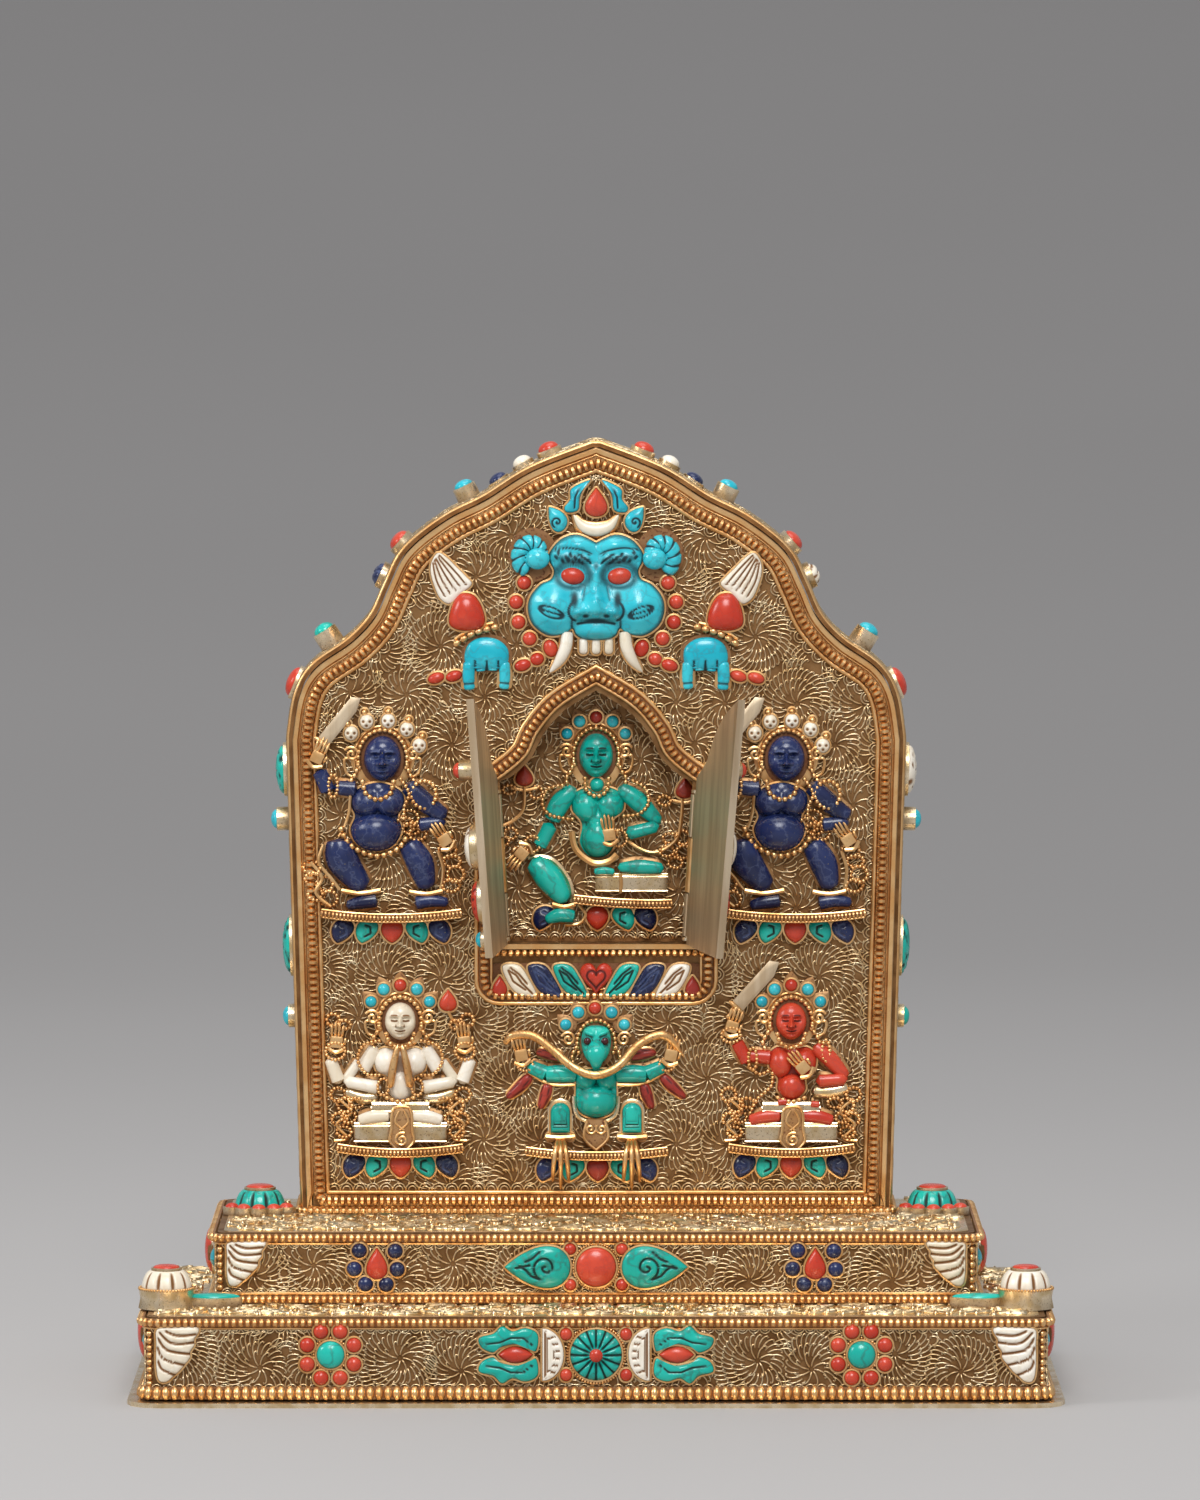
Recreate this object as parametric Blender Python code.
"""Gau prayer box: a shrine-shaped amulet case with two hinged doors on a stepped base.

Metres, +Z up. The origin is the middle of the base's underside, the front faces -Y and the
viewer's right is +X. Heights on the case are measured from the case's foot.
"""
from collections import namedtuple
from math import atan2, cos, hypot, pi, radians, sin, tan

import bmesh
import bpy
from mathutils import Matrix, Vector

MM = 0.001
FIT = 0.0003                    # clearance between pieces that are soldered or fitted together

# Stepped base
BOTTOM_PLATE_THICKNESS = 0.0012
BOTTOM_PLATE_LIP = 0.0050
TIER_SHEET = 0.0010
TIER_CORNER_RADIUS = 0.0030
LOWER_TIER_WIDTH = 0.2280
LOWER_TIER_HEIGHT = 0.0210
LOWER_TREAD = 0.0250            # from the lower tier's front to the upper tier's
UPPER_TIER_WIDTH = 0.1940
UPPER_TIER_HEIGHT = 0.0182
UPPER_TREAD = 0.0400            # from the upper tier's front to the case's
BACK_LEDGE = 0.0030             # each tier reaches this far behind what stands on it
TIER_RAIL_RADIUS = 0.0012
FOOT_RAIL_STRETCH = 1.6         # the lowest moulding is taller than it is thick
END_STONE_HEIGHT = 0.0080       # stone set on each end of a tier
END_STONE_LENGTH = 0.0140
END_STONE_WALL = 0.0020
END_STONE_RISE = 0.0025
END_STONE_SUNK = 0.0002

# Case: its outline climbs from the foot to the shoulder, then steps in to the pointed crown
CASE_DEPTH = 0.0300
CASE_WALL = 0.0012
CASE_FOOT_WIDTH = 0.1500
CASE_SHOULDER_WIDTH = 0.1570
CASE_SHOULDER_HEIGHT = 0.1233
CASE_HEIGHT = 0.1989
CROWN_STEPS = (                 # shares of the shoulder half-width and of the crown's height
    (0.977, 0.146), (0.924, 0.241), (0.806, 0.328), (0.727, 0.417), (0.679, 0.526),
    (0.620, 0.642), (0.494, 0.747), (0.362, 0.817), (0.211, 0.914), (0.0, 1.0),
)
FRONT_PLATE_THICKNESS = 0.0015
BACK_COVER_SHEET = 0.0008
BACK_COVER_SKIRT = 0.0060
SIDE_BAND_WIDTH = 0.0200
SIDE_BAND_SHEET = 0.0010

# Mouldings on the front of the case
RIM_BAND_WIDTH = 0.0022
RIM_BAND_HEIGHT = 0.0020
RIM_RAIL_INSET = 0.0040
RIM_RAIL_RADIUS = 0.0014
RIM_WIRE_INSET = 0.0064
RIM_WIRE_RADIUS = 0.0006
NICHE_RAIL_RADIUS = 0.0014

# Niche: a pointed arch over a sill, with the lotus panel below the sill
NICHE_HALF_WIDTH = 0.0290
NICHE_FRAME_FOOT = 0.0568
NICHE_SILL_HEIGHT = 0.0685
NICHE_SPRING_HEIGHT = 0.1132
NICHE_APEX_HEIGHT = 0.1401
NICHE_ARCH_STEPS = (            # shares of the half-width and of the arch's rise
    (0.841, 0.115), (0.676, 0.275), (0.576, 0.494), (0.359, 0.762), (0.0, 1.0),
)
NICHE_DEPTH = 0.0110
TRAY_SHEET = 0.0008
LOTUS_PANEL_THICKNESS = 0.0008

# Doors and hinges
DOOR_THICKNESS = 0.0020
DOOR_FRAME_GAP = 0.0006
DOOR_MEETING_GAP = 0.0006
HINGE_INSET = 0.0042            # from the niche moulding's middle to the hinge axis, at mid height
HINGE_LEAN = radians(3.5)       # the hinges lean outwards to the top
KNUCKLE_RADIUS = 0.0014
KNUCKLE_BORE_RADIUS = 0.0009
PIN_RADIUS = 0.0006
PIN_HEAD_LENGTH = 0.0008
DOOR_KNUCKLE_LENGTH = 0.0110
POST_KNUCKLE_LENGTH = 0.0140
KNUCKLE_GAP = 0.0004
HINGE_SOLE = 0.0006
HINGE_STANDOFF = 0.0022         # from the front plate to the hinge axis
LEFT_OPEN_ANGLE = radians(100)
RIGHT_OPEN_ANGLE = radians(111)

# Figures, thrones and mask
SETTING_HEIGHT = 0.0012
LEDGE_THICKNESS = 0.0012
LEDGE_REACH = 0.0075
LEDGE_MARGIN = 0.0016           # from a ledge's ends to the mouldings beside it
LOWER_LEDGE_HEIGHT = 0.0180
UPPER_LEDGE_HEIGHT = 0.0795
NICHE_LEDGE_RISE = 0.0122       # from the sill to the ledge in the niche
CENTRE_LEDGE_WIDTH = 0.0370
NICHE_LEDGE_WIDTH = 0.0330
PETAL_HEIGHT = 0.0053
PETAL_RISE = 0.0036
PETAL_GAP = 0.0006
PETAL_END_ROOM = 0.6            # free room at a ledge's ends, in petal pitches
THRONE_STRIP_SHARE = 0.92       # width of the strip behind the petals, as a share of the ledge's

STONE_SIDES = 8
SMALL_STONE_SIDES = 6
SMALL_STONE = 0.0075            # stones narrower than this have fewer sides
PLATE_SIDES = 12

Stone = namedtuple("Stone", "x z width height tilt")
Seat = namedtuple("Seat", "share length width rise")


def material(name, hex_colour, roughness, metallic):
    """A plain Principled material from an sRGB hex colour."""
    result = bpy.data.materials.new(name)
    result.use_nodes = True
    shader = result.node_tree.nodes["Principled BSDF"]
    channels = [int(hex_colour[i:i + 2], 16) / 255 for i in (0, 2, 4)]
    linear = [c / 12.92 if c <= 0.04045 else ((c + 0.055) / 1.055) ** 2.4 for c in channels]
    shader.inputs["Base Color"].default_value = (*linear, 1.0)
    shader.inputs["Roughness"].default_value = roughness
    shader.inputs["Metallic"].default_value = metallic
    return result


def new_collection(name):
    """A collection linked to the scene."""
    result = bpy.data.collections.new(name)
    bpy.context.scene.collection.children.link(result)
    return result


for leftover in list(bpy.data.objects):
    bpy.data.objects.remove(leftover, do_unlink=True)
BOX = new_collection("gau_prayer_box")

GILT = material("gilt_copper", "B98747", 0.32, 1.0)
SILVER = material("silvered_filigree", "B9A684", 0.38, 1.0)
SHEET = material("brass_sheet", "A8997A", 0.42, 1.0)
TURQUOISE = material("turquoise", "21A99A", 0.3, 0.0)
SKY_TURQUOISE = material("sky_turquoise", "3FB8CC", 0.3, 0.0)
LAPIS = material("lapis", "2A3570", 0.3, 0.0)
CORAL = material("coral", "C2402B", 0.35, 0.0)
SHELL = material("conch_shell", "E9E0CF", 0.4, 0.0)


# Shaping helpers

def add_object(name, data, finish):
    """Link a mesh or curve as a named object with one material."""
    result = bpy.data.objects.new(name, data)
    data.materials.append(finish)
    BOX.objects.link(result)
    return result


def evaluated_mesh(obj):
    """The object's mesh with its modifiers or bevels applied and its caps welded."""
    bpy.context.view_layer.update()
    depsgraph = bpy.context.evaluated_depsgraph_get()
    mesh = bpy.data.meshes.new_from_object(obj.evaluated_get(depsgraph))
    bm = bmesh.new()
    bm.from_mesh(mesh)
    bmesh.ops.remove_doubles(bm, verts=bm.verts, dist=1e-6)
    bm.to_mesh(mesh)
    bm.free()
    return mesh


def replace_by_mesh(obj):
    """Swap a curve, or an object with modifiers, for its plain mesh under the same name."""
    mesh = evaluated_mesh(obj)
    name, finish, place = obj.name, obj.data.materials[0], obj.matrix_world.copy()
    bpy.data.objects.remove(obj, do_unlink=True)
    mesh.materials.clear()
    result = add_object(name, mesh, finish)
    result.matrix_world = place
    return result


def combine(name, operation, pieces):
    """Boolean the later pieces with the first one, which keeps the result as a plain mesh."""
    body = pieces[0]
    body.name = name
    group = new_collection(name + "_operands")
    for piece in pieces[1:]:
        BOX.objects.unlink(piece)
        group.objects.link(piece)
        piece.hide_render = True
        piece.display_type = "WIRE"
    step = body.modifiers.new("combine", "BOOLEAN")
    step.operation = operation
    step.solver = "EXACT"
    step.operand_type = "COLLECTION"
    step.collection = group
    result = replace_by_mesh(body)
    for piece in list(group.objects):
        bpy.data.objects.remove(piece, do_unlink=True)
    bpy.data.collections.remove(group)
    return result


def fuse(name, pieces):
    """Join overlapping pieces into one solid."""
    return combine(name, "UNION", pieces)


def cut(body, *cutters):
    """Take the cutters out of a solid."""
    return combine(body.name, "DIFFERENCE", [body, *cutters])


def box(name, low, high, finish):
    """A box between two corners."""
    bm = bmesh.new()
    middle = (Vector(low) + Vector(high)) / 2
    size = Vector(high) - Vector(low)
    place = Matrix.Translation(middle) @ Matrix.Diagonal((*size, 1.0))
    bmesh.ops.create_cube(bm, size=1.0, matrix=place)
    mesh = bpy.data.meshes.new(name)
    bm.to_mesh(mesh)
    bm.free()
    return add_object(name, mesh, finish)


def cylinder(name, radius, low, high, finish, place=Matrix(), sides=12):
    """A cylinder about local Z between two heights, then placed."""
    bm = bmesh.new()
    bmesh.ops.create_cone(bm, cap_ends=True, segments=sides, radius1=radius, radius2=radius,
                          depth=high - low, matrix=Matrix.Translation((0, 0, (low + high) / 2)))
    bm.transform(place)
    mesh = bpy.data.meshes.new(name)
    bm.to_mesh(mesh)
    bm.free()
    return add_object(name, mesh, finish)


def half_ellipsoid(width, height, rise):
    """A bmesh of a domed stone without its foot: a half ellipsoid over the XY plane, open below."""
    bm = bmesh.new()
    sides = STONE_SIDES if min(width, height) > SMALL_STONE else SMALL_STONE_SIDES
    bmesh.ops.create_uvsphere(bm, u_segments=sides, v_segments=4, radius=1.0)
    bmesh.ops.delete(bm, geom=[v for v in bm.verts if v.co.z < -0.1], context="VERTS")
    bm.transform(Matrix.Diagonal((width / 2, height / 2, rise, 1)))
    return bm


def closed_stone(name, bm, finish, place):
    """Close a stone's foot and place it."""
    bmesh.ops.holes_fill(bm, edges=[edge for edge in bm.edges if edge.is_boundary])
    bmesh.ops.recalc_face_normals(bm, faces=bm.faces)
    bm.transform(place)
    mesh = bpy.data.meshes.new(name)
    bm.to_mesh(mesh)
    bm.free()
    return add_object(name, mesh, finish)


def pebble(name, width, height, rise, finish, place):
    """A domed stone: a half ellipsoid on its foot plane."""
    return closed_stone(name, half_ellipsoid(width, height, rise), finish, place)


def cabochon(name, width, height, rise, wall, finish, place):
    """A domed stone in its bezel: an upright wall from the foot plane, then a half ellipsoid."""
    bm = half_ellipsoid(width, height, rise)
    rim = [edge for edge in bm.edges if edge.is_boundary]
    bmesh.ops.translate(bm, verts=bm.verts, vec=(0, 0, wall))
    foot = bmesh.ops.extrude_edge_only(bm, edges=rim)["geom"]
    for vert in (item for item in foot if isinstance(item, bmesh.types.BMVert)):
        vert.co.z = 0
    return closed_stone(name, bm, finish, place)


def slab(name, loops, back, front, finish):
    """A flat outline standing in XZ, with any further loops as holes, between two Y planes."""
    curve = bpy.data.curves.new(name, "CURVE")
    curve.dimensions = "2D"
    curve.fill_mode = "BOTH"
    curve.extrude = abs(back - front) / 2
    for loop in loops:
        spline = curve.splines.new("POLY")
        spline.points.add(len(loop) - 1)
        for point, (x, z) in zip(spline.points, loop):
            point.co = (x, z, 0, 1)
        spline.use_cyclic_u = True
    result = add_object(name, curve, finish)
    result.rotation_euler.x = pi / 2
    result.location.y = (back + front) / 2
    return replace_by_mesh(result)


def tube(name, points, radius, finish, closed=True, sides_level=2):
    """A round rail along a path of points."""
    curve = bpy.data.curves.new(name, "CURVE")
    curve.dimensions = "3D"
    curve.bevel_depth = radius
    curve.bevel_resolution = sides_level
    curve.use_fill_caps = True
    spline = curve.splines.new("POLY")
    spline.points.add(len(points) - 1)
    for point, place in zip(spline.points, points):
        point.co = (*place, 1)
    spline.use_cyclic_u = closed
    return add_object(name, curve, finish)


def smooth(points, steps=2):
    """Points on a Catmull-Rom curve through an open run of points."""
    ends = [points[0], *points, points[-1]]
    result = []
    for a, b, c, d in zip(ends, ends[1:], ends[2:], ends[3:]):
        for i in range(steps):
            t = i / steps
            result.append(tuple(
                0.5 * (2 * q + (r - p) * t + (2 * p - 5 * q + 4 * r - s) * t * t
                       + (3 * q - p - 3 * r + s) * t ** 3)
                for p, q, r, s in zip(a, b, c, d)))
    return [*result, tuple(points[-1])]


def mirrored(half):
    """A closed loop from its right half, which runs from the foot up to the middle line."""
    return [*half, *[(-x, z) for x, z in reversed(half) if x > 1e-9]]


def offset(loop, distance):
    """Move a counter-clockwise loop outwards by a distance, with mitred corners."""
    result = []
    for before, here, after in zip([loop[-1], *loop], loop, [*loop[1:], loop[0]]):
        first = Vector((here[0] - before[0], here[1] - before[1])).normalized()
        second = Vector((after[0] - here[0], after[1] - here[1])).normalized()
        normal = Vector((first.y + second.y, -first.x - second.x)).normalized()
        reach = distance / max(normal.dot(Vector((first.y, -first.x))), 0.5)
        result.append((here[0] + normal.x * reach, here[1] + normal.y * reach))
    return result


def lifted(loop, height):
    """The loop moved up."""
    return [(x, z + height) for x, z in loop]


def half_width_at(loop, height):
    """The loop's half-width at a height, on its right side."""
    for (xa, za), (xb, zb) in zip(loop, loop[1:]):
        if za <= height < zb and xa > 0:
            return xa + (xb - xa) * (height - za) / (zb - za)
    return 0.0


# Levels and outlines shared by the pieces

LOWER_TIER_FOOT = BOTTOM_PLATE_THICKNESS + FIT
LOWER_TIER_TOP = LOWER_TIER_FOOT + LOWER_TIER_HEIGHT
UPPER_TIER_FOOT = LOWER_TIER_TOP + FIT
UPPER_TIER_TOP = UPPER_TIER_FOOT + UPPER_TIER_HEIGHT
CASE_FOOT = UPPER_TIER_TOP + FIT
UPPER_TIER_DEPTH = UPPER_TREAD + CASE_DEPTH + BACK_LEDGE
LOWER_TIER_DEPTH = LOWER_TREAD + UPPER_TIER_DEPTH + BACK_LEDGE
LOWER_TIER_FRONT = -LOWER_TIER_DEPTH / 2
UPPER_TIER_FRONT = LOWER_TIER_FRONT + LOWER_TREAD
UPPER_TIER_MIDDLE = UPPER_TIER_FRONT + UPPER_TIER_DEPTH / 2
TIER_RAIL_REACH = FIT + 2 * TIER_RAIL_RADIUS
PLATE_FRONT = UPPER_TIER_FRONT + UPPER_TREAD
CASE_MIDDLE = PLATE_FRONT + CASE_DEPTH / 2
CASE_BACK = PLATE_FRONT + CASE_DEPTH
PLATE_BACK = PLATE_FRONT + FRONT_PLATE_THICKNESS
TRAY_FLOOR = PLATE_FRONT + NICHE_DEPTH
SEAT_PLANE = PLATE_FRONT - FIT
FACE_FRONT = Matrix.Rotation(pi / 2, 4, "X")


def case_outline():
    """The case's outer outline, counter-clockwise from its right foot, on its own foot line."""
    shoulder = CASE_SHOULDER_WIDTH / 2
    crown = CASE_HEIGHT - CASE_SHOULDER_HEIGHT
    climb = [(shoulder * x, CASE_SHOULDER_HEIGHT + crown * z) for x, z in CROWN_STEPS]
    return mirrored([(CASE_FOOT_WIDTH / 2, 0.0), *smooth([(shoulder, CASE_SHOULDER_HEIGHT), *climb])])


def niche_path():
    """The middle line of the niche's moulding, counter-clockwise from its right foot."""
    rise = NICHE_APEX_HEIGHT - NICHE_SPRING_HEIGHT
    arch = [(NICHE_HALF_WIDTH * x, NICHE_SPRING_HEIGHT + rise * z) for x, z in NICHE_ARCH_STEPS]
    return mirrored([(NICHE_HALF_WIDTH, NICHE_FRAME_FOOT),
                     *smooth([(NICHE_HALF_WIDTH, NICHE_SPRING_HEIGHT), *arch])])


OUTLINE = case_outline()
NICHE = niche_path()
HINGE_HEIGHT = (NICHE_SILL_HEIGHT + NICHE_SPRING_HEIGHT) / 2
HINGE_X = NICHE_HALF_WIDTH - HINGE_INSET
HINGE_Y = PLATE_FRONT - HINGE_STANDOFF


def hinge_line_x(height, inset):
    """X of the right hinge's line at a height, moved towards the middle by an inset."""
    return HINGE_X + (height - HINGE_HEIGHT) * tan(HINGE_LEAN) - inset


def arch_below_hinge_line(inner_loop, foot, hinge_inset):
    """Right half of an opening: up the hinge's line from the foot, then along the arch."""
    arch = [(x, z) for x, z in inner_loop
            if z > NICHE_SPRING_HEIGHT - 0.5 * NICHE_HALF_WIDTH and 0 < x < hinge_line_x(z, hinge_inset)]
    apex = max(z for _, z in inner_loop)
    spring = arch[0][1] - 0.001
    return [(hinge_line_x(foot, hinge_inset), foot), (hinge_line_x(spring, hinge_inset), spring),
            *arch, (0.0, apex)]


# Base

def rounded_rectangle(width, depth, radius, steps=3):
    """Points round a rectangle with rounded corners."""
    result = []
    for corner in range(4):
        middle_x = (width / 2 - radius) * (1 if corner in (0, 3) else -1)
        middle_y = (depth / 2 - radius) * (1 if corner in (0, 1) else -1)
        for step in range(steps + 1):
            angle = pi / 2 * (corner + step / steps)
            result.append((middle_x + radius * cos(angle), middle_y + radius * sin(angle)))
    return result


def tray_block(name, width, depth, middle_y, radius, low, high, finish):
    """An upright block on a rounded rectangle."""
    result = slab(name, [rounded_rectangle(width, depth, radius)], 0, high - low, finish)
    result.matrix_world = Matrix.Translation((0, middle_y, (low + high) / 2))
    return result


def end_setting(side, half_width, middle_y, height):
    """A stone in its bezel on the end of a tier."""
    turn = Matrix.Rotation(side * pi / 2, 4, "Y")
    place = Matrix.Translation((side * (half_width - END_STONE_SUNK), middle_y, height)) @ turn
    return cabochon("end_setting", END_STONE_HEIGHT, END_STONE_LENGTH, END_STONE_RISE, END_STONE_WALL,
                    SILVER, place)


def tier(name, width, depth, middle_y, low, height):
    """A tier: a thin shell open underneath, with a stone set on each end."""
    block = tray_block(name, width, depth, middle_y, TIER_CORNER_RADIUS, low, low + height, SILVER)
    ends = [end_setting(side, width / 2, middle_y, low + height / 2) for side in (-1, 1)]
    block = fuse(name, [block, *ends])
    hollow = tray_block("hollow", width - 2 * TIER_SHEET, depth - 2 * TIER_SHEET, middle_y,
                        max(TIER_CORNER_RADIUS - TIER_SHEET, 0.3 * TIER_CORNER_RADIUS),
                        low - TIER_SHEET, low + height - TIER_SHEET, SILVER)
    return cut(block, hollow)


def tier_rail(name, width, depth, middle_y, level, stretch=1.0):
    """A moulding round a tier, just outside its sheet."""
    reach = 2 * (FIT + TIER_RAIL_RADIUS)
    corner = TIER_CORNER_RADIUS + reach / 2
    path = [(x, middle_y + y, 0) for x, y in rounded_rectangle(width + reach, depth + reach, corner)]
    rail = tube(name, path, TIER_RAIL_RADIUS, GILT)
    rail.location.z = level
    rail.scale.z = stretch
    return rail


def build_base():
    """Bottom plate, two tiers and their four mouldings."""
    lip = 2 * BOTTOM_PLATE_LIP
    tray_block("base_bottom_plate", LOWER_TIER_WIDTH + lip, LOWER_TIER_DEPTH + lip, 0,
               TIER_CORNER_RADIUS + BOTTOM_PLATE_LIP, 0, BOTTOM_PLATE_THICKNESS, SHEET)
    lower = (LOWER_TIER_WIDTH, LOWER_TIER_DEPTH, 0)
    upper = (UPPER_TIER_WIDTH, UPPER_TIER_DEPTH, UPPER_TIER_MIDDLE)
    tier("lower_tier_shell", *lower, LOWER_TIER_FOOT, LOWER_TIER_HEIGHT)
    tier("upper_tier_shell", *upper, UPPER_TIER_FOOT, UPPER_TIER_HEIGHT)
    foot_half = TIER_RAIL_RADIUS * FOOT_RAIL_STRETCH
    tier_rail("lower_tier_foot_rail", *lower, LOWER_TIER_FOOT + foot_half, FOOT_RAIL_STRETCH)
    tier_rail("lower_tier_top_rail", *lower, LOWER_TIER_TOP - TIER_RAIL_RADIUS)
    tier_rail("upper_tier_foot_rail", *upper, UPPER_TIER_FOOT + TIER_RAIL_RADIUS)
    tier_rail("upper_tier_top_rail", *upper, UPPER_TIER_TOP - TIER_RAIL_RADIUS)


# Case

def pan(name, loop, sheet, floor, mouth, finish):
    """A shallow tray: a floor sheet on the loop with a wall round it up to the mouth plane."""
    towards = 1 if mouth > floor else -1
    solid = slab(name, [loop], floor, mouth, finish)
    hollow = slab("hollow", [offset(loop, -sheet)], floor + towards * sheet, mouth + towards * sheet,
                  finish)
    return cut(solid, hollow)


def build_case():
    """Wall, front plate with the niche's opening, niche tray and the lid at the back."""
    outline = lifted(OUTLINE, CASE_FOOT)
    slab("case_wall", [outline, offset(outline, -CASE_WALL)], CASE_BACK, PLATE_FRONT, GILT)
    inner = offset(outline, -CASE_WALL - FIT)
    opening = lifted(niche_opening(), CASE_FOOT)
    slab("front_plate", [inner, opening], PLATE_BACK, PLATE_FRONT, SILVER)
    pan("niche_tray", offset(opening, TRAY_SHEET), TRAY_SHEET, TRAY_FLOOR + TRAY_SHEET, PLATE_BACK + FIT,
        SILVER)
    pan("back_cover", inner, BACK_COVER_SHEET, CASE_BACK, CASE_BACK - BACK_COVER_SKIRT, SHEET)


def niche_opening():
    """The opening in the front plate, inside the niche's moulding and above its sill."""
    inner = offset(NICHE, -NICHE_RAIL_RADIUS - HINGE_INSET / 2)
    foot = NICHE_SILL_HEIGHT + NICHE_RAIL_RADIUS
    return mirrored(arch_below_hinge_line(inner, foot, KNUCKLE_RADIUS - FIT))


def build_mouldings():
    """Rim band, beaded rail and wire round the front, and the moulding round the niche."""
    outline = lifted(OUTLINE, CASE_FOOT)
    slab("rim_band", [outline, offset(outline, -RIM_BAND_WIDTH)],
         SEAT_PLANE, SEAT_PLANE - RIM_BAND_HEIGHT, GILT)
    rail = offset(outline, -RIM_RAIL_INSET)
    depth = SEAT_PLANE - RIM_RAIL_RADIUS
    tube("rim_bead_rail", [(x, depth, z) for x, z in rail], RIM_RAIL_RADIUS, GILT, sides_level=1)
    wire = offset(outline, -RIM_WIRE_INSET)
    depth = SEAT_PLANE - RIM_WIRE_RADIUS
    tube("rim_inner_wire", [(x, depth, z) for x, z in wire], RIM_WIRE_RADIUS, GILT, sides_level=0)
    depth = SEAT_PLANE - NICHE_RAIL_RADIUS
    frame = tube("niche_frame_rail", [(x, depth, z) for x, z in lifted(NICHE, CASE_FOOT)],
                 NICHE_RAIL_RADIUS, GILT)
    sill_height = CASE_FOOT + NICHE_SILL_HEIGHT
    sill = tube("sill", [(-NICHE_HALF_WIDTH, depth, sill_height), (NICHE_HALF_WIDTH, depth, sill_height)],
                NICHE_RAIL_RADIUS, GILT, closed=False)
    fuse("niche_frame_rail", [replace_by_mesh(frame), replace_by_mesh(sill)])


SIDE_STONE_DOME = 0.0015
SIDE_SEATS = (                  # share of the way from foot to apex, then the stone's sizes
    Seat(0.21, 5 * MM, 5 * MM, 4 * MM), Seat(0.285, 15 * MM, 10 * MM, 3.5 * MM),
    Seat(0.425, 5 * MM, 5 * MM, 5.5 * MM), Seat(0.48, 13 * MM, 10 * MM, 4 * MM),
    Seat(0.625, 5.5 * MM, 5.5 * MM, 7 * MM), Seat(0.72, 6 * MM, 8 * MM, 4 * MM),
    Seat(0.765, 6 * MM, 8 * MM, 4 * MM), Seat(0.847, 5 * MM, 5 * MM, 6 * MM),
    Seat(0.882, 5 * MM, 6 * MM, 3 * MM), Seat(0.912, 5 * MM, 6 * MM, 3.5 * MM),
    Seat(0.945, 5.5 * MM, 5.5 * MM, 4 * MM),
)


def point_along(run, share):
    """The point and direction at a share of the length of a run of points."""
    lengths = [hypot(b[0] - a[0], b[1] - a[1]) for a, b in zip(run, run[1:])]
    left = share * sum(lengths)
    for (a, b), length in zip(zip(run, run[1:]), lengths):
        if left <= length:
            break
        left -= length
    direction = Vector((b[0] - a[0], 0, b[1] - a[1])) / length
    return Vector((a[0], 0, a[1])) + direction * left, direction


def build_side_band():
    """The strap over the case's sides and crown, with bezels and stones standing on it."""
    outer = offset(OUTLINE, FIT + SIDE_BAND_SHEET)
    inner = offset(OUTLINE, FIT)
    foot = FIT
    strip = [(x, max(z, foot)) for x, z in outer] + [(x, max(z, foot)) for x, z in reversed(inner)]
    half = SIDE_BAND_WIDTH / 2
    band = slab("side_filigree_band", [lifted(strip, CASE_FOOT)], CASE_MIDDLE + half, CASE_MIDDLE - half,
                SILVER)
    right_side = [(x, z) for x, z in lifted(outer, CASE_FOOT) if x >= -1e-9]
    settings = []
    for seat in SIDE_SEATS:
        point, along = point_along(right_side, seat.share)
        for side in (-1, 1):
            direction = Vector((side * along.x, 0, along.z))
            normal = Vector((side * along.z, 0, -along.x))
            across = normal.cross(direction)
            foot_point = Vector((side * point.x, CASE_MIDDLE, point.z)) - normal * SIDE_BAND_SHEET / 2
            turn = Matrix((direction, across, normal)).transposed().to_4x4()
            settings.append(cabochon("seat", seat.length, seat.width, SIDE_STONE_DOME,
                                     seat.rise - SIDE_STONE_DOME, SILVER,
                                     Matrix.Translation(foot_point) @ turn))
    fuse("side_filigree_band", [band, *settings])


# Doors

DoorStone = namedtuple("DoorStone", "name reach height width length rise wall finish")
DOOR_STONES = (                 # reach from the hinge and height from the hinge's middle
    DoorStone("coral_tip", 12 * MM, 26 * MM, 4.5 * MM, 4.5 * MM, 1.8 * MM, 5.5 * MM, CORAL),
    DoorStone("shell_panel", 12 * MM, 6 * MM, 9 * MM, 11 * MM, 2.0 * MM, 3.5 * MM, SHELL),
    DoorStone("coral_panel", 12 * MM, -8 * MM, 8 * MM, 11 * MM, 2.2 * MM, 2.5 * MM, CORAL),
    DoorStone("turquoise_stud", 12 * MM, -18 * MM, 4.5 * MM, 4.5 * MM, 1.6 * MM, 2.5 * MM, TURQUOISE),
)


def door_leaf_outline():
    """The right leaf's outline about its hinge axis at mid height, upright, closed."""
    inner = offset(NICHE, -NICHE_RAIL_RADIUS - DOOR_FRAME_GAP)
    foot = NICHE_SILL_HEIGHT + NICHE_RAIL_RADIUS + DOOR_FRAME_GAP
    half = arch_below_hinge_line(inner, foot, KNUCKLE_RADIUS + DOOR_FRAME_GAP)
    middle = DOOR_MEETING_GAP / 2
    loop = [(middle, foot), *[(max(x, middle), z) for x, z in half]]
    turn = Matrix.Rotation(-HINGE_LEAN, 2)
    turned = [turn @ Vector((HINGE_X - x, z - HINGE_HEIGHT)) for x, z in loop]
    return [(-point.x, point.y) for point in turned]


def hinge_place(side, angle):
    """The hinge frame: its Z runs up the axis, and the closed leaf lies towards the middle."""
    axis_point = Vector((side * HINGE_X, HINGE_Y, CASE_FOOT + HINGE_HEIGHT))
    lean = Matrix.Rotation(side * HINGE_LEAN, 4, "Y")
    return Matrix.Translation(axis_point) @ lean @ Matrix.Rotation(side * angle, 4, "Z")


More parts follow.
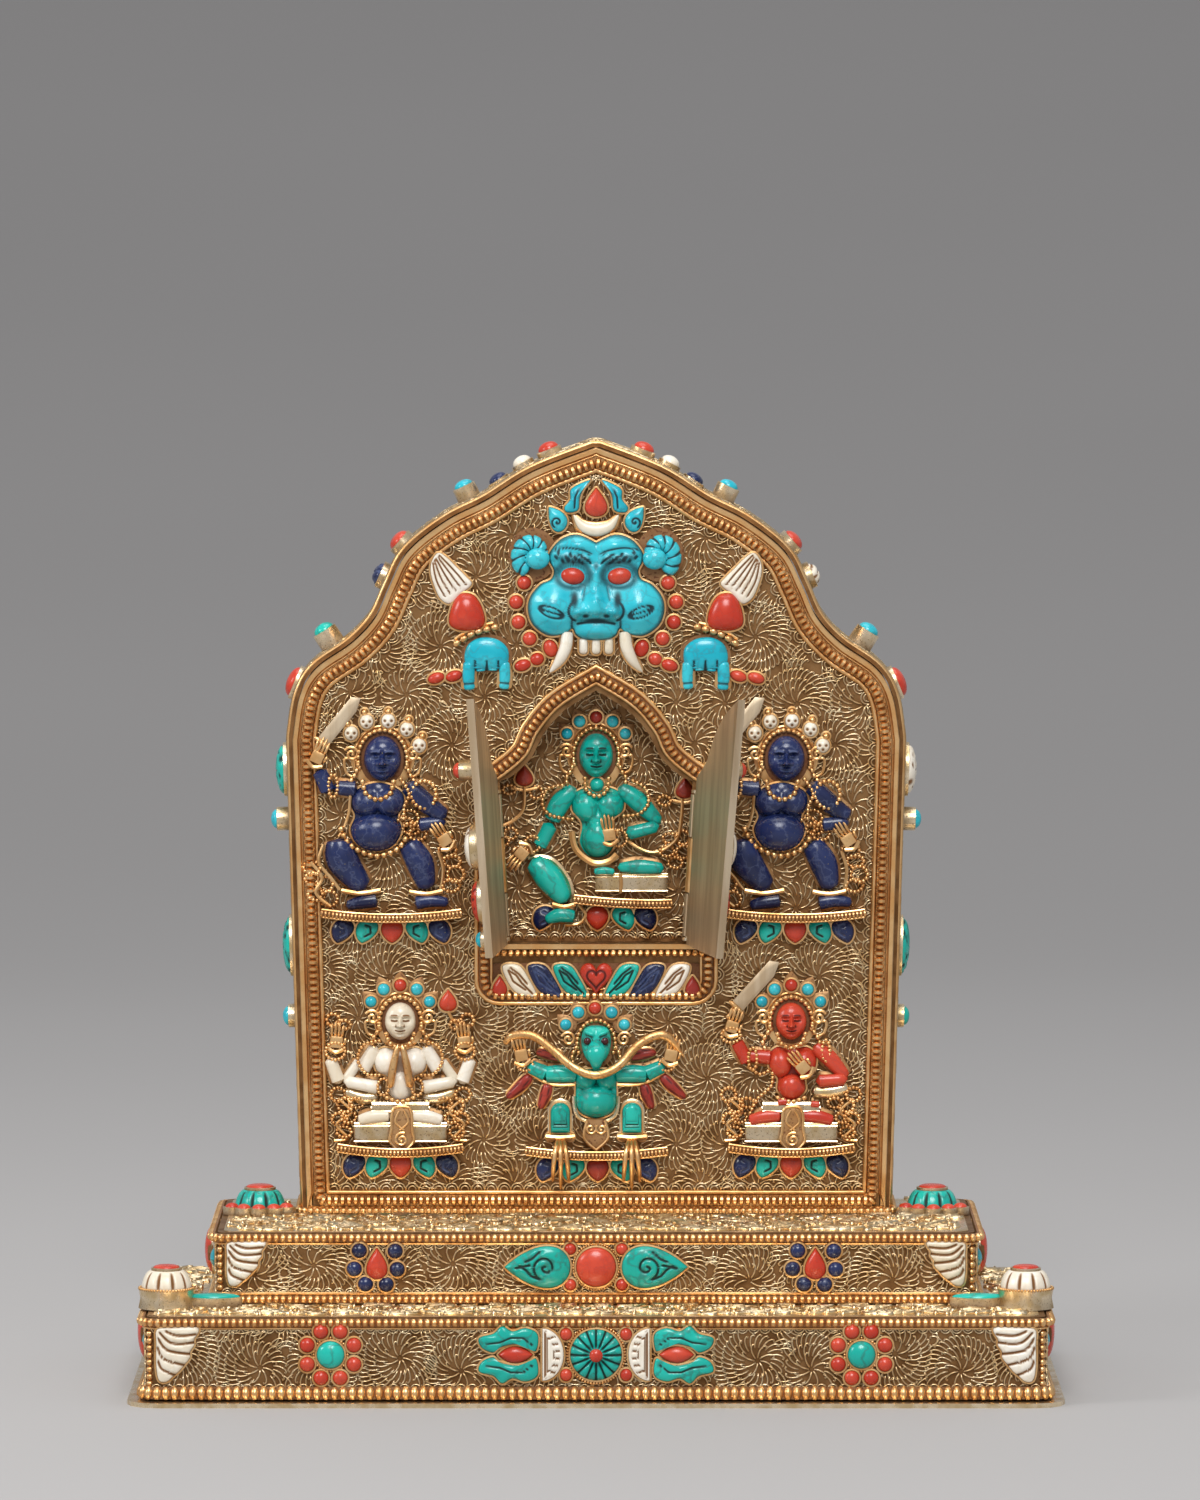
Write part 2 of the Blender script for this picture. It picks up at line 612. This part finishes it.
def build_door(prefix, side, angle):
    """A leaf with its two knuckles and bezels, its stones, its pin and the fixed knuckle's post."""
    pivot = bpy.data.objects.new(prefix + "_hinge_axis", None)
    pivot.matrix_world = hinge_place(side, angle)
    BOX.objects.link(pivot)
    outline = [(side * x, z) for x, z in door_leaf_outline()]
    leaf = slab("leaf", [outline], DOOR_THICKNESS / 2, -DOOR_THICKNESS / 2, SHEET)
    inner_end = POST_KNUCKLE_LENGTH / 2 + KNUCKLE_GAP
    outer_end = inner_end + DOOR_KNUCKLE_LENGTH
    pieces = [leaf]
    for low, high in ((-outer_end, -inner_end), (inner_end, outer_end)):
        pieces.append(cylinder("knuckle", KNUCKLE_RADIUS, low, high, SHEET))
        web = sorted((0.0, -side * (KNUCKLE_RADIUS + 2 * DOOR_FRAME_GAP)))
        pieces.append(box("web", (web[0], -DOOR_THICKNESS / 2, low),
                          (web[1], DOOR_THICKNESS / 2, high), SHEET))
    for stone in DOOR_STONES:
        foot = Matrix.Translation((-side * stone.reach, -DOOR_THICKNESS / 4, stone.height)) @ FACE_FRONT
        wall = stone.wall - FIT + DOOR_THICKNESS / 4
        pieces.append(cylinder("bezel", 0.5, 0, wall, SHEET,
                               foot @ Matrix.Diagonal((stone.width, stone.length, 1, 1)), sides=STONE_SIDES))
        seat = Matrix.Translation((-side * stone.reach, -DOOR_THICKNESS / 2 - stone.wall, stone.height))
        gem = cabochon(f"{prefix}_{stone.name}", stone.width - FIT, stone.length - FIT, stone.rise, FIT,
                       stone.finish, seat @ FACE_FRONT)
        gem.parent = pivot
    bore = cylinder("bore", KNUCKLE_BORE_RADIUS, -outer_end - FIT, outer_end + FIT, SHEET)
    door = cut(fuse(prefix, pieces), bore)
    door.parent = pivot
    build_hinge_post(prefix, side, outer_end)


def build_hinge_post(prefix, side, outer_end):
    """The fixed middle knuckle on its strap, and the headed pin through all three knuckles."""
    place = hinge_place(side, 0)
    half = POST_KNUCKLE_LENGTH / 2
    strap_foot = HINGE_STANDOFF - FIT
    sole = sorted((-side * KNUCKLE_RADIUS, side * 2 * KNUCKLE_RADIUS))
    pieces = [cylinder("post", KNUCKLE_RADIUS, -half, half, GILT),
              box("strap", (-KNUCKLE_RADIUS, 0, -half), (KNUCKLE_RADIUS, strap_foot, half), GILT),
              box("sole", (sole[0], strap_foot - HINGE_SOLE, -half), (sole[1], strap_foot, half), GILT)]
    post = cut(fuse(prefix.replace("door", "hinge_post"), pieces),
               cylinder("bore", KNUCKLE_BORE_RADIUS, -half - FIT, half + FIT, GILT))
    post.matrix_world = place
    reach = outer_end + KNUCKLE_GAP
    shank = cylinder("pin", PIN_RADIUS, -reach - PIN_HEAD_LENGTH / 2, reach + PIN_HEAD_LENGTH / 2, GILT)
    heads = [cylinder("head", KNUCKLE_RADIUS, low, low + PIN_HEAD_LENGTH, GILT)
             for low in (-reach - PIN_HEAD_LENGTH, reach)]
    pin = fuse(prefix.replace("door", "hinge_pin"), [shank, *heads])
    pin.matrix_world = place


# Figures

def limb(x0, z0, x1, z1, width):
    """A long stone between two points, in millimetres."""
    length = hypot(x1 - x0, z1 - z0) + 0.4 * width
    return Stone((x0 + x1) / 2, (z0 + z1) / 2, width, length, atan2(x0 - x1, z1 - z0))


def bead(x, z, size):
    """A round stone, in millimetres."""
    return Stone(x, z, size, size, 0.0)


def crown(points, size):
    """The row of small stones over a head."""
    return [bead(x, z, size) for x, z in points]


STANDING = [                    # striding figure with a raised sword, about its ledge's middle
    Stone(-1.7, 40.5, 10, 12, 0), Stone(-6, 29, 7, 8.5, 0), Stone(0.6, 29, 7, 8.5, 0),
    Stone(-3.2, 22.2, 12, 10, 0), limb(-8, 33, -13, 31.8, 4.5), limb(-13, 32, -17, 37, 4),
    bead(-17, 39.5, 4.5), limb(4, 33, 11, 28, 4.5), limb(11, 28, 13.6, 22, 4.2), bead(14, 20, 4.2),
    limb(-11, 17.5, -7, 7.5, 7.5), limb(2.5, 17, 8.3, 7.5, 7.5), bead(-7.2, 4.2, 5.5),
    bead(9.6, 4.2, 5.5), limb(-17.5, 41, -8.5, 55.2, 2.6),
    *crown(((-9.3, 47), (-5.3, 49.6), (0.4, 49.9), (4.9, 47.9), (7.8, 43.6)), 3.8),
]
STANDING_PLATES = (Stone(-1.0, 44, 20, 14, 0), Stone(-2, 24, 17, 36, 0))

FOUR_ARMED = [                  # seated figure with two raised arms and joined hands
    Stone(-1, 34, 7.6, 9.4, 0), Stone(-4, 22.8, 6.6, 7, 0), Stone(2.6, 22.8, 6.6, 7, 0),
    Stone(-0.7, 16, 9, 7.5, 0), bead(-0.7, 22, 5), limb(-8, 25.5, -12.6, 20, 4.2),
    limb(-13, 19, -7, 17.4, 3.8), limb(-13.4, 18.4, -17.4, 19.5, 3.6), limb(-17.2, 18.6, -16.8, 24.6, 3.4),
    limb(6.6, 25.5, 11.2, 20, 4.2), limb(11.6, 19, 5.6, 17.4, 3.8), limb(12, 18.4, 15.8, 19.2, 3.6),
    limb(15.4, 18.4, 15.2, 24.6, 3.4), limb(-12, 7.6, -1, 9, 6), limb(12.6, 8.2, 1.6, 9, 6),
    Stone(0.4, 3.9, 24, 4.6, 0),
    *crown(((-8.2, 39), (-5.3, 41.9), (-1, 43), (3.2, 41.9), (6.4, 39)), 3.2),
]
FOUR_ARMED_PLATES = (Stone(-0.9, 37, 16.5, 13.5, 0), Stone(-0.4, 17, 15, 32, 0))

SEATED = [                      # seated figure with a raised sword, soles together
    Stone(0.6, 34, 7.6, 9.4, 0), Stone(-2.5, 23.2, 6.4, 7, 0), Stone(3.8, 23.2, 6.4, 7, 0),
    Stone(0.6, 16.6, 9, 7.5, 0), bead(3.4, 19.8, 4), limb(-5.5, 25.5, -9.6, 24.4, 4),
    limb(-9.6, 24.2, -13, 29, 3.6),
    bead(-13.4, 31.4, 4.6), limb(8, 25.5, 13.8, 19.4, 4.2), limb(13.4, 18.6, 6.6, 18, 3.8),
    limb(-5.6, 8.4, -3, 12, 5.6), limb(7.4, 8.4, 5, 12, 5.6), bead(-6.8, 7.4, 6), bead(8.2, 7.4, 6),
    Stone(0.4, 3.9, 24, 4.6, 0), limb(-14, 33.5, -4.5, 48, 2.4),
    *crown(((-6.4, 39.2), (-3.5, 42), (0.6, 43.1), (4.8, 42), (7.8, 39.2)), 3.2),
]
SEATED_PLATES = (Stone(0.7, 37, 16.5, 13.5, 0), Stone(0.6, 17, 15, 32, 0))

BIRD = [                        # bird-headed figure with spread arms and feathered elbows
    Stone(0.2, 26, 7.8, 9, 0), Stone(-2.9, 18.6, 6.4, 7, 0), Stone(3.1, 18.6, 6.4, 7, 0),
    Stone(0.1, 12.6, 10.5, 9.5, 0), limb(-5.5, 20.4, -11, 20.2, 4.4), limb(-11, 20.6, -16.4, 21.4, 4),
    limb(-16.6, 21.2, -18.4, 24.8, 3.4), limb(5.7, 20.4, 11.2, 20.2, 4.4), limb(11.2, 20.6, 16.6, 21.4, 4),
    limb(16.8, 21.2, 18.6, 24.8, 3.4), limb(-15.4, 19.8, -20.8, 13.4, 4), limb(15.6, 19.8, 21, 13.4, 4),
    limb(-10.8, 18.6, -14.2, 10.4, 3.6), limb(11, 18.6, 14.4, 10.4, 3.6), limb(-8.4, 11.4, -9.2, 4.6, 4.8),
    limb(8.6, 11.4, 9.4, 4.6, 4.8), Stone(0.1, 5, 11, 6, 0),
    *crown(((-7.2, 30.8), (-4, 33.2), (0.1, 34.4), (4.3, 33.2), (7.4, 30.8)), 3.2),
]
BIRD_PLATES = (Stone(0.1, 28.4, 16.5, 13.5, 0), Stone(0.1, 15, 17, 25, 0))

GODDESS = [                     # figure in the niche with one leg let down
    Stone(0.7, 36.6, 8.8, 11.2, 0), Stone(-2.6, 24.6, 6.8, 7.4, 0), Stone(4.1, 24.6, 6.8, 7.4, 0),
    Stone(0.8, 16.4, 8.6, 9.5, 0), limb(-6, 27.8, -10.2, 21.8, 4.2), limb(-10, 21.5, -13.6, 15, 3.8),
    limb(-13.6, 14.4, -16.8, 11.6, 3.6), limb(7.4, 27.8, 13.6, 22.6, 4.2), limb(13.6, 21.6, 7.6, 18.4, 3.8),
    limb(-2, 11.6, -12.4, 9.4, 5.6), limb(-12.6, 9.2, -9.6, 3.4, 5), limb(4, 11.6, 15, 9, 5.8),
    Stone(3.6, 4.2, 9, 4.4, 0), Stone(11.4, 4.2, 9.5, 4.4, 0), limb(4, 7, 8, 7, 3.6),
    *crown(((-7, 41.6), (-3.7, 44.6), (0.6, 45.7), (5, 44.6), (8.2, 41.6)), 3),
]
GODDESS_PLATES = (Stone(0.6, 39.5, 17, 13.5, 0), Stone(0.8, 20, 14, 34, 0))


def set_stone(stone, rise, middle_x, foot, plane):
    """A domed stone on an upright plane, measured in millimetres from a middle and a foot."""
    place = Matrix.Translation((middle_x + stone.x * MM, plane, foot + stone.z * MM))
    place = place @ FACE_FRONT @ Matrix.Rotation(stone.tilt, 4, "Z")
    return pebble("stone", stone.width * MM, stone.height * MM, rise, TURQUOISE, place)


def set_plate(plate, thickness, middle_x, foot, plane):
    """A flat oval backing plate, measured as the stones are."""
    place = Matrix.Translation((middle_x + plate.x * MM, plane, foot + plate.z * MM)) @ FACE_FRONT
    return cylinder("plate", 0.5, 0, thickness, TURQUOISE,
                    place @ Matrix.Diagonal((plate.width * MM, plate.height * MM, 1, 1)), sides=PLATE_SIDES)


def figure(name, stones, plates, middle_x, foot, plane, finish, wall=SETTING_HEIGHT):
    """A figure: its flat backing plates and all its stones, soldered together."""
    pieces = [set_plate(plate, wall, middle_x, foot, plane) for plate in plates]
    sunk = wall / 2
    for stone in stones:
        rise = wall - sunk + (1.2 + 0.26 * min(stone.width, stone.height, 9)) * MM
        pieces.append(set_stone(stone, rise, middle_x, foot, plane - sunk))
    result = fuse(name, pieces)
    result.data.materials[0] = finish
    return result


def throne(name, middle_x, level, width, plane, reach, petals=5):
    """A lotus throne: a half-round ledge on a backing strip with a row of petal stones under it."""
    steps = 8
    arc = [(width / 2 * cos(pi * i / steps), -reach * sin(pi * i / steps)) for i in range(steps + 1)]
    ledge = slab(name, [arc], 0, LEDGE_THICKNESS, GILT)
    ledge.matrix_world = Matrix.Translation((middle_x, plane, level - LEDGE_THICKNESS / 2))
    half = THRONE_STRIP_SHARE * width / 2
    strip = box("strip", (middle_x - half, plane - SETTING_HEIGHT, level - PETAL_HEIGHT),
                (middle_x + half, plane, level - LEDGE_THICKNESS / 2), GILT)
    pieces = [ledge, strip]
    pitch = width / (petals + PETAL_END_ROOM)
    for i in range(petals):
        x = middle_x + (i - (petals - 1) / 2) * pitch
        place = Matrix.Translation((x, plane, level - LEDGE_THICKNESS - PETAL_HEIGHT / 2)) @ FACE_FRONT
        pieces.append(pebble("petal", pitch - PETAL_GAP, PETAL_HEIGHT, PETAL_RISE, GILT, place))
    return fuse(name, pieces)


def side_column():
    """Middle and free width of the space between the niche's moulding and the rim."""
    inner = offset(OUTLINE, -RIM_WIRE_INSET - RIM_WIRE_RADIUS)
    low = NICHE_HALF_WIDTH + NICHE_RAIL_RADIUS
    high = min(half_width_at(inner, LOWER_LEDGE_HEIGHT), half_width_at(inner, UPPER_LEDGE_HEIGHT))
    return (low + high) / 2, high - low - 2 * LEDGE_MARGIN


def build_figures():
    """Six figures on their thrones: two rows beside the niche, one in it and one under it."""
    column, width = side_column()
    upper = CASE_FOOT + UPPER_LEDGE_HEIGHT
    lower = CASE_FOOT + LOWER_LEDGE_HEIGHT
    niche = CASE_FOOT + NICHE_SILL_HEIGHT + NICHE_LEDGE_RISE
    niche_plane = TRAY_FLOOR - FIT
    throne("blue_throne_left", -column, upper, width, SEAT_PLANE, LEDGE_REACH)
    throne("blue_throne_right", column, upper, width, SEAT_PLANE, LEDGE_REACH)
    throne("white_throne", -column, lower, width, SEAT_PLANE, LEDGE_REACH)
    throne("red_throne", column, lower, width, SEAT_PLANE, LEDGE_REACH)
    throne("bird_throne", 0, lower, CENTRE_LEDGE_WIDTH, SEAT_PLANE, LEDGE_REACH)
    throne("green_throne", 0, niche, NICHE_LEDGE_WIDTH, niche_plane, LEDGE_REACH)
    figure("blue_figure_left", STANDING, STANDING_PLATES, -column, upper, SEAT_PLANE, LAPIS)
    figure("blue_figure_right", STANDING, STANDING_PLATES, column, upper, SEAT_PLANE, LAPIS)
    figure("white_figure", FOUR_ARMED, FOUR_ARMED_PLATES, -column, lower, SEAT_PLANE, SHELL)
    figure("red_figure", SEATED, SEATED_PLATES, column, lower, SEAT_PLANE, CORAL)
    figure("bird_figure", BIRD, BIRD_PLATES, 0, lower, SEAT_PLANE, TURQUOISE)
    figure("green_figure", GODDESS, GODDESS_PLATES, 0, niche, niche_plane, TURQUOISE, 2 * SETTING_HEIGHT)


MASK_ROOM = 0.0588              # free height over the niche that the mask's stones are drawn for
MASK = [                        # guardian mask with horns, crown leaves and a row of beads each side
    Stone(0, -8.5, 34, 20, 0), Stone(0, 1.5, 26, 13, 0), Stone(0, -16, 20, 7, 0), Stone(0, -10.5, 8, 7, 0),
    Stone(0, 10.8, 9, 6, 0), Stone(0, 15, 5, 7, 0),
]
MASK_PAIRS = [
    Stone(6, -3, 6, 4.6, 0), Stone(11, -10.5, 11, 9, 0), Stone(5.2, 14.6, 4.4, 7, -0.5),
    Stone(10.6, 10, 7, 5, -0.6), Stone(15, 3, 5, 9, -0.7), limb(8.6, -18, 12.4, -24.5, 3),
    bead(16.2, -3.6, 4.2), bead(18, -7.4, 4.2), bead(18, -11.2, 4.2), bead(16, -14.6, 4.2),
]
MASK_PLATES = [Stone(0, -4, 30, 34, 0), Stone(0, 9.6, 26, 17, 0)]
HAND_REACH = 0.0286
HAND_BELOW_MASK = 0.0254
HAND_ARCH_WIDTH = 0.0088
HAND_ARCH_HEIGHT = 0.0100
HAND_RADIUS = 0.0018
SLEEVE_RISE = 0.0032


def mirrored_stone(stone):
    """The same stone on the left side."""
    return Stone(-stone.x, stone.z, stone.width, stone.height, -stone.tilt)


def scaled(stones, share):
    """The stones with their places and sizes scaled about the group's middle."""
    return [Stone(x * share, z * share, width * share, height * share, tilt)
            for x, z, width, height, tilt in stones]


def build_mask():
    """The guardian mask over the niche, and the two hands beside the arch."""
    level = CASE_FOOT + (NICHE_APEX_HEIGHT + CASE_HEIGHT) / 2
    share = (CASE_HEIGHT - NICHE_APEX_HEIGHT) / MASK_ROOM
    stones = [*MASK, *MASK_PAIRS, *[mirrored_stone(stone) for stone in MASK_PAIRS]]
    figure("guardian_mask", scaled(stones, share), scaled(MASK_PLATES, share), 0, level, SEAT_PLANE,
           SKY_TURQUOISE)
    steps = 8
    foot = level - HAND_BELOW_MASK
    depth = SEAT_PLANE - HAND_RADIUS
    for prefix, side in (("left", -1), ("right", 1)):
        middle = side * HAND_REACH
        arch = [(middle - HAND_ARCH_WIDTH / 2, depth, foot - HAND_ARCH_HEIGHT / 2)]
        arch += [(middle - HAND_ARCH_WIDTH / 2 * cos(pi * i / steps), depth,
                  foot + HAND_ARCH_WIDTH / 2 * sin(pi * i / steps)) for i in range(steps + 1)]
        arch += [(middle + HAND_ARCH_WIDTH / 2, depth, foot - HAND_ARCH_HEIGHT / 2)]
        hand = replace_by_mesh(tube("hand", arch, HAND_RADIUS, SKY_TURQUOISE, closed=False))
        sleeve = [limb(side * 2.6, 6, side * 5.6, 14, 8), limb(side * 5.6, 14, side * 10.5, 23, 5),
                  limb(side * -1.5, 7, side * 6.5, 7, 4)]
        pieces = [set_stone(stone, SLEEVE_RISE, middle, foot, SEAT_PLANE) for stone in sleeve]
        fuse(f"mask_{prefix}_hand", [hand, *pieces])


# Ornaments on the base and under the niche

def ring(count, radius, size, start=0.0):
    """Small stones round a circle, in millimetres."""
    return [bead(radius * cos(start + 2 * pi * i / count), radius * sin(start + 2 * pi * i / count), size)
            for i in range(count)]


FAN_INSET = 0.0095              # from a tier's end to the middle of its corner fan
FLOWER_SHARE = 0.58             # flower's place along the half-width
FLOWER_HEART = Stone(0, 0, 5, 6.6, 0)
FLOWER_PLATE = Stone(0, 0, 9.6, 9.6, 0)
UPPER_CENTRE = [
    bead(0, 0, 10.2), *[bead(x, z, 3) for x in (-6.4, 6.4) for z in (-4.4, 4.4)],
    *[Stone(x, 0, 16.5, 10.4, 0) for x in (-15.6, 15.6)],
]
LOWER_CENTRE = [
    bead(0, 0, 12.6), *[bead(x, z, 3) for x in (-7.4, 7.4) for z in (-5.2, 5.2)],
    *[Stone(x, 0, 5.2, 12, 0) for x in (-11.2, 11.2)],
    *[Stone(x, 0, 14.6, 11.6, 0) for x in (-21.6, 21.6)],
]
UPPER_CENTRE_PLATE = Stone(0, 0, 34, 9, 0)
LOWER_CENTRE_PLATE = Stone(0, 0, 46, 9, 0)

# Set stones on the treads
UPPER_ROSETTE_SHARE = 0.60      # its middle, as a share of the upper tier's depth from the front
UPPER_ROSETTE_INSET = 0.0095    # from the tier's end to its middle
COLLAR_SIZE = 0.0160
COLLAR_HEIGHT = 0.0018
BOWL_SIZE = 0.0128
BOWL_WALL = 0.0024
BOWL_RISE = 0.0044
TOP_STONE_SIZE = 0.0072
TOP_STONE_WALL = 0.0058
TOP_STONE_RISE = 0.0016
STUD_SIZE = 0.0044
STUD_WALL = 0.0014
STUD_RISE = 0.0012
STUD_RING = 0.0089              # from the rosette's middle to its five studs
STUD_ARC = (220, 245, 270, 295, 320)
LOWER_ROSETTE_SIZE = 0.90       # shares of the free tread beside the upper tier's foot moulding
LOWER_ROSETTE_PLACE = 0.69
LOWER_ROSETTE_TOP = 0.48        # top stone, as a share of the bowl
LOWER_ROSETTE_WALL = 0.0052
LOWER_ROSETTE_RISE = 0.0040
LOWER_TOP_WALL = 0.0088
MARQUISE_LENGTH = 0.0138
MARQUISE_WIDTH = 0.24           # shares of the lower tread's depth
MARQUISE_PLACE = 0.70
MARQUISE_WALL = 0.0024
MARQUISE_RISE = 0.0016
MARQUISE_LAP = 0.0015           # how far it reaches into the rosette's collar


def face_middle(name):
    """The height half-way between a tier's two mouldings."""
    if name == "upper":
        return (UPPER_TIER_FOOT + UPPER_TIER_TOP) / 2
    return (LOWER_TIER_FOOT + LOWER_TIER_TOP) / 2 + TIER_RAIL_RADIUS * (FOOT_RAIL_STRETCH - 1)


def corner_fan(side):
    """Three long stones spreading from the outer foot of a corner."""
    return [limb(side * 4.2, -4.6, side * -3.2, 3.4, 5.6), limb(side * 3.4, -1, side * -2.6, 3.8, 5.6),
            limb(side * 4, -4.6, side * 1, 4, 5)]


def build_base_ornaments():
    """Fans, flowers and centre pieces on both tiers' fronts."""
    for name, width, front in (("upper", UPPER_TIER_WIDTH, UPPER_TIER_FRONT),
                               ("lower", LOWER_TIER_WIDTH, LOWER_TIER_FRONT)):
        plane = front - FIT
        level = face_middle(name)
        petals = ring(6, 4.3, 3.4, pi / 6) if name == "upper" else ring(8, 5.2, 3.2)
        for prefix, side in (("left", -1), ("right", 1)):
            figure(f"{prefix}_{name}_fan", corner_fan(side), (), side * (width / 2 - FAN_INSET), level,
                   plane, SHELL)
            figure(f"{prefix}_{name}_flower", [FLOWER_HEART, *petals], (FLOWER_PLATE,),
                   side * FLOWER_SHARE * width / 2, level, plane, CORAL)
    figure("upper_centre_ornament", UPPER_CENTRE, (UPPER_CENTRE_PLATE,), 0, face_middle("upper"),
           UPPER_TIER_FRONT - FIT, TURQUOISE)
    figure("lower_centre_ornament", LOWER_CENTRE, (LOWER_CENTRE_PLATE,), 0, face_middle("lower"),
           LOWER_TIER_FRONT - FIT, TURQUOISE)


def tread_stone(place, width, depth, rise, wall):
    """A stone in its bezel standing on a tread."""
    return cabochon("tread_stone", width, depth, rise, wall, SILVER, Matrix.Translation(place))


def build_upper_rosette(prefix, side):
    """A collar with a bowl and its top stone, and five small studs round the collar's front."""
    middle = Vector((side * (UPPER_TIER_WIDTH / 2 - UPPER_ROSETTE_INSET),
                     UPPER_TIER_FRONT + UPPER_ROSETTE_SHARE * UPPER_TIER_DEPTH, UPPER_TIER_TOP + FIT))
    pieces = [tread_stone(middle, COLLAR_SIZE, COLLAR_SIZE, FIT, COLLAR_HEIGHT),
              tread_stone(middle, BOWL_SIZE, BOWL_SIZE, BOWL_RISE, BOWL_WALL),
              tread_stone(middle, TOP_STONE_SIZE, TOP_STONE_SIZE, TOP_STONE_RISE, TOP_STONE_WALL)]
    for angle in map(radians, STUD_ARC):
        place = middle + STUD_RING * Vector((cos(angle), sin(angle), 0))
        pieces.append(tread_stone(place, STUD_SIZE, STUD_SIZE, STUD_RISE, STUD_WALL))
    fuse(f"{prefix}_upper_rosette", pieces).data.materials[0] = TURQUOISE


def build_lower_rosette(prefix, side):
    """A bowl with its top stone beside the upper tier's corner, and a long stone before that corner."""
    free = (LOWER_TIER_WIDTH - UPPER_TIER_WIDTH) / 2 - TIER_RAIL_REACH
    size = LOWER_ROSETTE_SIZE * free
    x = UPPER_TIER_WIDTH / 2 + TIER_RAIL_REACH + LOWER_ROSETTE_PLACE * free
    y = LOWER_TIER_FRONT + MARQUISE_PLACE * LOWER_TREAD
    level = LOWER_TIER_TOP + FIT
    top = LOWER_ROSETTE_TOP * size
    marquise_x = x - size / 2 - MARQUISE_LENGTH / 2 + MARQUISE_LAP
    pieces = [tread_stone((side * x, y, level), size, size, LOWER_ROSETTE_RISE, LOWER_ROSETTE_WALL),
              tread_stone((side * x, y, level), top, top, TOP_STONE_RISE, LOWER_TOP_WALL),
              tread_stone((side * marquise_x, y, level), MARQUISE_LENGTH, MARQUISE_WIDTH * LOWER_TREAD,
                          MARQUISE_RISE, MARQUISE_WALL)]
    fuse(f"{prefix}_lower_rosette", pieces).data.materials[0] = SHELL


LOTUS_PETAL_PITCH = 6.3         # in millimetres, as the stones are
LOTUS_PETAL_MARGIN = 1.2
LOTUS_PETAL_LEAN = 0.16
LOTUS_PETAL_DROP = 0.4
LOTUS_PETAL_RISE = 0.0024
LOTUS_PAIRS = 4


def build_lotus_panel():
    """The row of slanting petals between the sill and the foot of the niche's frame."""
    low = CASE_FOOT + NICHE_FRAME_FOOT + NICHE_RAIL_RADIUS + FIT
    high = CASE_FOOT + NICHE_SILL_HEIGHT - NICHE_RAIL_RADIUS - FIT
    half = NICHE_HALF_WIDTH - NICHE_RAIL_RADIUS - FIT
    plate = box("lotus_panel", (-half, SEAT_PLANE - LOTUS_PANEL_THICKNESS, low),
                (half, SEAT_PLANE, high), GILT)
    height = (high - low) / MM - LOTUS_PETAL_MARGIN
    level = (low + high) / 2
    petals = [Stone(0, 0, 5.6, height, 0)]
    for i in range(1, LOTUS_PAIRS + 1):
        for side in (-1, 1):
            petals.append(Stone(side * LOTUS_PETAL_PITCH * i, 0, 4.2, height - LOTUS_PETAL_DROP * i,
                                -side * LOTUS_PETAL_LEAN * i))
    plane = SEAT_PLANE - LOTUS_PANEL_THICKNESS / 2
    pieces = [set_stone(petal, LOTUS_PETAL_RISE, 0, level, plane) for petal in petals]
    fuse("lotus_panel", [plate, *pieces])


def shade_round_pieces():
    """Smooth the facets of every piece except at its real edges."""
    for obj in BOX.objects:
        if obj.type == "MESH":
            obj.data.shade_smooth()
            obj.data.set_sharp_from_angle(angle=radians(40))


build_base()
build_case()
build_mouldings()
build_side_band()
build_door("left_door", -1, LEFT_OPEN_ANGLE)
build_door("right_door", 1, RIGHT_OPEN_ANGLE)
build_figures()
build_mask()
build_base_ornaments()
for name, direction in (("left", -1), ("right", 1)):
    build_upper_rosette(name, direction)
    build_lower_rosette(name, direction)
build_lotus_panel()
shade_round_pieces()
